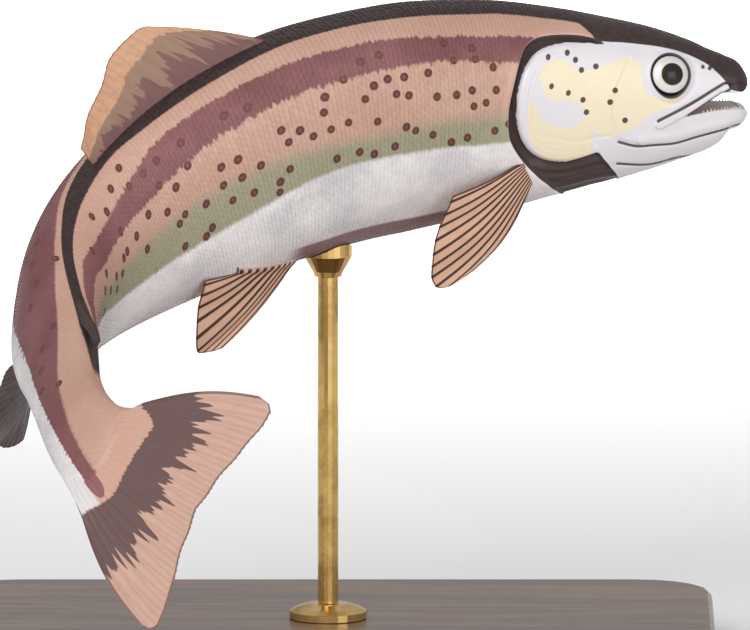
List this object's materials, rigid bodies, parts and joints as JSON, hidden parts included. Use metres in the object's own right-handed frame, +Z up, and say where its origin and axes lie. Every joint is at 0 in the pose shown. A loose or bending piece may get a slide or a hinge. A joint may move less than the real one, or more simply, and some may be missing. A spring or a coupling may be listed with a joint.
{
  "type": "rainbow trout",
  "caption": "Life-size rainbow trout, leaping with its mouth open and its tail swept round, held over a rectangular wooden base on a single brass rod.",
  "frame": {"origin": "on the underside of the base, straight below the rod", "axes": "+Z up, +X towards the fish's snout, -Y the side that its right flank faces"},
  "size_m": [0.3126, 0.3187, 0.2613],
  "materials": {
    "back_skin": "wet dark skin of the back",
    "flank_skin": "wet scaled skin, iridescent",
    "pale_skin": "wet smooth skin of the head",
    "fin_web": "thin wet fin with rays",
    "dark_fin_web": "thin dark wet fin with rays",
    "flesh": "wet flesh of the mouth",
    "eye_glass": "glossy eye",
    "walnut": "satin lacquered walnut",
    "brass": "polished brass"
  },
  "bodies": {
    "root": {"head": "pale_skin", "jaw_lower": "pale_skin", "tongue": "flesh", "eye_left": "eye_glass", "eye_right": "eye_glass", "operculum_left": "pale_skin", "operculum_right": "pale_skin", "maxilla_left": "pale_skin", "maxilla_right": "pale_skin", "trunk_front": "flank_skin", "trunk_middle": "flank_skin", "trunk_rear": "flank_skin", "tail_front": "flank_skin", "tail_stalk": "flank_skin", "fin_dorsal": "fin_web", "fin_adipose": "back_skin", "fin_anal": "dark_fin_web", "fin_caudal": "fin_web", "fin_pectoral_left": "fin_web", "fin_pectoral_right": "fin_web", "fin_pelvic_left": "fin_web", "fin_pelvic_right": "fin_web", "stand_base": "walnut", "stand_collar": "brass", "stand_rod": "brass", "stand_saddle": "brass"}
  },
  "joints": []
}
